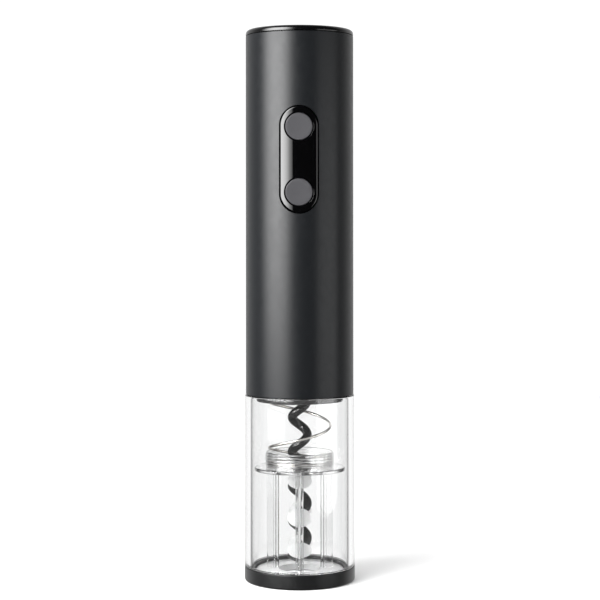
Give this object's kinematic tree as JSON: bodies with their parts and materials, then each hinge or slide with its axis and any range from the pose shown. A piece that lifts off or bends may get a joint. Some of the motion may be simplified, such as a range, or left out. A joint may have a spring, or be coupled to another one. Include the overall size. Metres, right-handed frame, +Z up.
{
  "type": "electric wine opener",
  "caption": "Cordless upright wine opener: black cylindrical body with a two-button panel over a clear housing that holds a motor-driven worm and a sprung neck guide.",
  "frame": {"origin": "centre of the base ring's underside", "axes": "+Z up along the body, -Y out of the button panel, +X to the right seen from the front"},
  "size_m": [0.0512, 0.0512, 0.255],
  "materials": {
    "satin_black": "satin soft-touch black",
    "gloss_black": "high gloss black",
    "button_grey": "matte, finely speckled grey",
    "clear_plastic": "clear, polished",
    "frosted_silicone": "frosted, translucent",
    "worm_coating": "slick black coating on steel",
    "steel": "bright steel",
    "core_steel": "stacked laminations",
    "brass": "machined brass",
    "copper": "turned copper",
    "nylon": "natural moulded nylon",
    "inner_black": "moulded black",
    "ferrite": "sintered ferrite",
    "board_green": "solder-masked board",
    "cell_green": "plain printed sleeve, no lettering",
    "seal_rubber": "black rubber",
    "lead_red": "red insulation",
    "lead_black": "black insulation"
  },
  "bodies": {
    "housing": {"body_tube": "satin_black", "button_panel": "gloss_black", "control_board": "board_green", "switch_up": "inner_black", "switch_down": "inner_black", "base_ring": "satin_black", "clear_housing": "clear_plastic", "drive_plate": "inner_black", "output_bush": "brass", "return_spring": "steel", "ring_gear": "nylon", "gearbox_screw_1": "steel", "gearbox_screw_2": "steel", "gearbox_screw_3": "steel", "motor_plate": "steel", "motor_screw_1": "steel", "motor_screw_2": "steel", "motor_can": "steel", "motor_end_bell": "inner_black", "magnet_left": "ferrite", "magnet_right": "ferrite", "lead_red": "lead_red", "lead_black": "lead_black", "chassis": "inner_black", "battery_tray": "inner_black", "cell_1": "cell_green", "cell_2": "cell_green", "cell_3": "cell_green", "cell_4": "cell_green", "outlet_contact_minus": "steel", "outlet_contact_plus": "steel", "bridge_contact": "steel", "contact_spring_1": "steel", "contact_spring_2": "steel"},
    "neck_guide": {"guide_cage": "clear_plastic", "guide_foot": "clear_plastic", "grip_strip_front": "frosted_silicone", "grip_strip_rear": "frosted_silicone"},
    "up_button": {"button_up": "button_grey", "plunger_up": "nylon"},
    "down_button": {"button_down": "button_grey", "plunger_down": "nylon"},
    "cap": {"top_cap": "gloss_black", "cap_seal": "seal_rubber", "contact_plate": "inner_black", "cap_contact_front": "steel", "cap_contact_rear": "steel"},
    "armature": {"armature_core": "core_steel", "commutator": "copper", "motor_shaft": "steel", "motor_pinion": "brass"},
    "first_carrier": {"carrier_1": "steel"},
    "output": {"output_carrier": "steel", "worm": "worm_coating"},
    "first_planet_a": {"planet_1_a": "nylon"},
    "first_planet_b": {"planet_1_b": "nylon"},
    "first_planet_c": {"planet_1_c": "nylon"},
    "second_planet_a": {"planet_2_a": "steel"},
    "second_planet_b": {"planet_2_b": "steel"},
    "second_planet_c": {"planet_2_c": "steel"}
  },
  "joints": [
    {"name": "guide_slide", "type": "slide", "parent": "housing", "child": "neck_guide", "axis": [0, 0, 1], "range_m": [0, 0.02], "stiffness_N_per_m": 120, "springref_m": -0.02, "deforming": ["return_spring"]},
    {"name": "up_press", "type": "slide", "parent": "housing", "child": "up_button", "axis": [0, 1, 0], "range_m": [0, 0.0008], "stiffness_N_per_m": 600, "springref_m": -0.001},
    {"name": "down_press", "type": "slide", "parent": "housing", "child": "down_button", "axis": [0, 1, 0], "range_m": [0, 0.0008], "stiffness_N_per_m": 600, "springref_m": -0.001},
    {"name": "cap_lift", "type": "slide", "parent": "housing", "child": "cap", "axis": [0, 0, 1], "range_m": [0, 0.06]},
    {"name": "motor_spin", "type": "hinge", "parent": "housing", "child": "armature", "pos_m": [0, 0, 0.1365], "axis": [0, 0, 1], "continuous": true},
    {"name": "first_carrier_spin", "type": "hinge", "parent": "housing", "child": "first_carrier", "pos_m": [0, 0, 0.1076], "axis": [0, 0, 1], "continuous": true},
    {"name": "output_spin", "type": "hinge", "parent": "housing", "child": "output", "pos_m": [0, 0, 0.0995], "axis": [0, 0, 1], "continuous": true},
    {"name": "first_planet_a_spin", "type": "hinge", "parent": "first_carrier", "child": "first_planet_a", "pos_m": [0.00945, 0, 0.1114], "axis": [0, 0, 1], "continuous": true},
    {"name": "first_planet_b_spin", "type": "hinge", "parent": "first_carrier", "child": "first_planet_b", "pos_m": [-0.00473, 0.00818, 0.1114], "axis": [0, 0, 1], "continuous": true},
    {"name": "first_planet_c_spin", "type": "hinge", "parent": "first_carrier", "child": "first_planet_c", "pos_m": [-0.00473, -0.00818, 0.1114], "axis": [0, 0, 1], "continuous": true},
    {"name": "second_planet_a_spin", "type": "hinge", "parent": "output", "child": "second_planet_a", "pos_m": [0.00945, 0, 0.1037], "axis": [0, 0, 1], "continuous": true},
    {"name": "second_planet_b_spin", "type": "hinge", "parent": "output", "child": "second_planet_b", "pos_m": [-0.00473, 0.00818, 0.1037], "axis": [0, 0, 1], "continuous": true},
    {"name": "second_planet_c_spin", "type": "hinge", "parent": "output", "child": "second_planet_c", "pos_m": [-0.00473, -0.00818, 0.1037], "axis": [0, 0, 1], "continuous": true}
  ],
  "couplings": [
    {"joint": "first_carrier_spin", "follows": "motor_spin", "ratio": 0.22222},
    {"joint": "output_spin", "follows": "motor_spin", "ratio": 0.049383},
    {"joint": "first_planet_a_spin", "follows": "motor_spin", "ratio": -0.62222},
    {"joint": "first_planet_b_spin", "follows": "motor_spin", "ratio": -0.62222},
    {"joint": "first_planet_c_spin", "follows": "motor_spin", "ratio": -0.62222},
    {"joint": "second_planet_a_spin", "follows": "motor_spin", "ratio": -0.13827},
    {"joint": "second_planet_b_spin", "follows": "motor_spin", "ratio": -0.13827},
    {"joint": "second_planet_c_spin", "follows": "motor_spin", "ratio": -0.13827}
  ]
}
